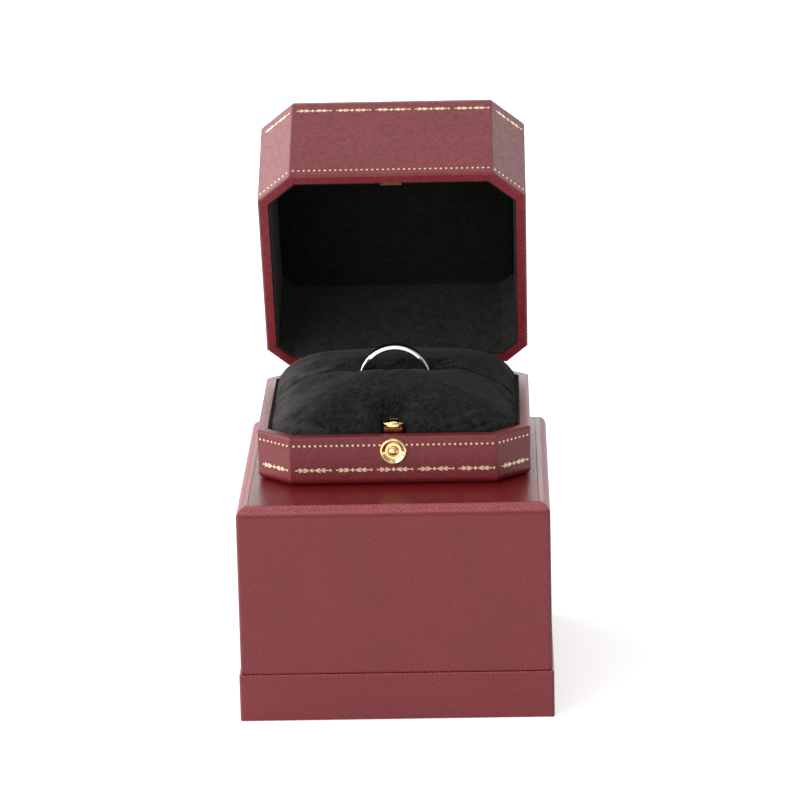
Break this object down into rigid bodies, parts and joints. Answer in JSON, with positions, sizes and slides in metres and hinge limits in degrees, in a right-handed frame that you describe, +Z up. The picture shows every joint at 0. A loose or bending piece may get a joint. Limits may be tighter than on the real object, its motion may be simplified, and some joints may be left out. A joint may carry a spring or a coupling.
{
  "type": "ring display box",
  "caption": "Octagonal hinged ring box with a push-button catch, slit ring cushion and band ring, standing on its lift-off outer carton.",
  "frame": {"origin": "middle of the outer carton's underside, on the surface it stands on", "axes": "+X to the right, +Y to the back where the lid's hinge is, +Z up; the push button faces -Y"},
  "size_m": [0.0742, 0.1054, 0.1325],
  "materials": {
    "burgundy leatherette": "fine grain, satin",
    "carton leatherette": "fine grain, satin",
    "black card": "matt",
    "covered board": "matt",
    "grey card": "matt",
    "black suede lining": "suede nap",
    "black suede cushion": "suede nap",
    "black suede pad": "suede nap",
    "gilt brass": "satin gilt",
    "polished gilt": "polished gilt",
    "brass nails": "plain",
    "spring steel": "plain",
    "polished silver": "polished"
  },
  "bodies": {
    "carton_base": {"carton_base": "carton leatherette", "carton_neck": "black card"},
    "carton_lid": {"carton_lid": "carton leatherette"},
    "ring_box": {"base_shell": "burgundy leatherette", "base_panel": "covered board", "base_lining": "black suede lining", "cushion_card": "grey card", "ring_cushion": "black suede cushion", "base_hinge_leaf": "gilt brass", "hinge_pin": "gilt brass", "hinge_spring": "spring steel", "base_leaf_brads": "brass nails", "button_bezel": "polished gilt", "catch_pivot": "spring steel", "catch_bracket": "spring steel", "bracket_brads": "brass nails", "catch_spring": "spring steel"},
    "lid": {"lid_shell": "burgundy leatherette", "lid_lining": "black suede lining", "lid_pad": "black suede pad", "lid_hinge_leaf": "gilt brass", "lid_leaf_brads": "brass nails", "strike_plate": "gilt brass", "strike_brads": "brass nails"},
    "catch": {"catch_lever": "gilt brass", "catch_knob": "polished gilt"},
    "button": {"push_button": "polished gilt"},
    "ring": {"ring_band": "polished silver"}
  },
  "joints": [
    {"name": "carton_lid_lift", "type": "slide", "parent": "carton_base", "child": "carton_lid", "axis": [0, 0, 1], "range_m": [0, 0.03]},
    {"name": "ring_box_lift", "type": "slide", "parent": "carton_lid", "child": "ring_box", "axis": [0, 0, 1], "range_m": [0, 0.02]},
    {"name": "lid_hinge", "type": "hinge", "parent": "ring_box", "child": "lid", "pos_m": [0, 0.0399, 0.06465], "axis": [1, 0, 0], "range_deg": [0, 64.5], "stiffness_Nm_per_rad": 0.008, "springref_deg": -28.65, "deforming": ["hinge_spring"]},
    {"name": "button_press", "type": "slide", "parent": "ring_box", "child": "button", "axis": [0, 1, 0], "range_m": [0, 0.0005], "stiffness_N_per_m": 400, "springref_m": -0.0005, "deforming": ["catch_spring"]},
    {"name": "catch_swing", "type": "hinge", "parent": "ring_box", "child": "catch", "pos_m": [0, -0.0174, 0.0559], "axis": [-1, 0, 0], "range_deg": [0, 5.75]},
    {"name": "ring_lift", "type": "slide", "parent": "ring_box", "child": "ring", "axis": [0, 0, 1], "range_m": [0, 0.0122]}
  ],
  "couplings": [
    {"joint": "catch_swing", "follows": "button_press", "rad_per_m": 200}
  ]
}
